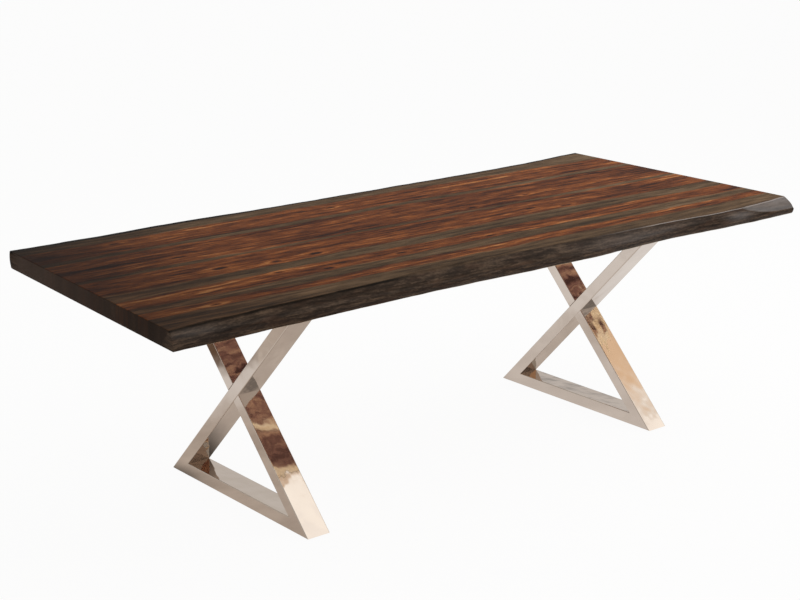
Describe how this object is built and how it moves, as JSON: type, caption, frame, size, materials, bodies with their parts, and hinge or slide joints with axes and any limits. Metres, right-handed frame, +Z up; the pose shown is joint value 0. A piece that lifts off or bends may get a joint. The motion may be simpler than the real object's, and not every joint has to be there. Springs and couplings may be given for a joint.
{
  "type": "dining table",
  "caption": "Long dining table: a thick glued-up wood top with natural live edges, carried by polished steel X-shaped leg frames with screw levelling feet.",
  "frame": {"origin": "on the floor, under the middle of the top's outline", "axes": "+X along the table's length, towards the right end; +Y from the front live edge to the back one; +Z up"},
  "size_m": [2.438, 1.069, 0.762],
  "materials": {
    "stained_rosewood": "dark stain under satin lacquer, grey sapwood and orange-brown heartwood",
    "dowel_beech": "plain beech",
    "polished_steel": "mirror polished stainless steel",
    "plate_steel": "brushed stainless steel",
    "zinc_steel": "zinc plated",
    "insert_brass": "plain brass",
    "nylon_pad": "moulded nylon"
  },
  "bodies": {
    "table": {"front_live_edge_board": "stained_rosewood", "front_inner_board": "stained_rosewood", "centre_board": "stained_rosewood", "back_inner_board": "stained_rosewood", "back_live_edge_board": "stained_rosewood", "dowels_front_seam": "dowel_beech", "dowels_front_inner_seam": "dowel_beech", "dowels_back_inner_seam": "dowel_beech", "dowels_back_seam": "dowel_beech", "left_leg_long_arm": "polished_steel", "left_leg_lower_short_arm": "polished_steel", "left_leg_upper_short_arm": "polished_steel", "left_leg_floor_bar": "polished_steel", "left_leg_top_plate": "plate_steel", "left_leg_bolts": "zinc_steel", "left_leg_washers": "zinc_steel", "left_leg_threaded_inserts": "insert_brass", "left_leg_rivet_nuts": "zinc_steel", "right_leg_long_arm": "polished_steel", "right_leg_lower_short_arm": "polished_steel", "right_leg_upper_short_arm": "polished_steel", "right_leg_floor_bar": "polished_steel", "right_leg_top_plate": "plate_steel", "right_leg_bolts": "zinc_steel", "right_leg_washers": "zinc_steel", "right_leg_threaded_inserts": "insert_brass", "right_leg_rivet_nuts": "zinc_steel"},
    "left_front_foot": {"left_front_foot_stem": "zinc_steel", "left_front_foot_pad": "nylon_pad"},
    "left_back_foot": {"left_back_foot_stem": "zinc_steel", "left_back_foot_pad": "nylon_pad"},
    "right_front_foot": {"right_front_foot_stem": "zinc_steel", "right_front_foot_pad": "nylon_pad"},
    "right_back_foot": {"right_back_foot_stem": "zinc_steel", "right_back_foot_pad": "nylon_pad"}
  },
  "joints": [
    {"name": "left_front_foot_screw", "type": "slide", "parent": "table", "child": "left_front_foot", "axis": [0, 0, -1], "range_m": [0, 0.012]},
    {"name": "left_back_foot_screw", "type": "slide", "parent": "table", "child": "left_back_foot", "axis": [0, 0, -1], "range_m": [0, 0.012]},
    {"name": "right_front_foot_screw", "type": "slide", "parent": "table", "child": "right_front_foot", "axis": [0, 0, -1], "range_m": [0, 0.012]},
    {"name": "right_back_foot_screw", "type": "slide", "parent": "table", "child": "right_back_foot", "axis": [0, 0, -1], "range_m": [0, 0.012]}
  ]
}
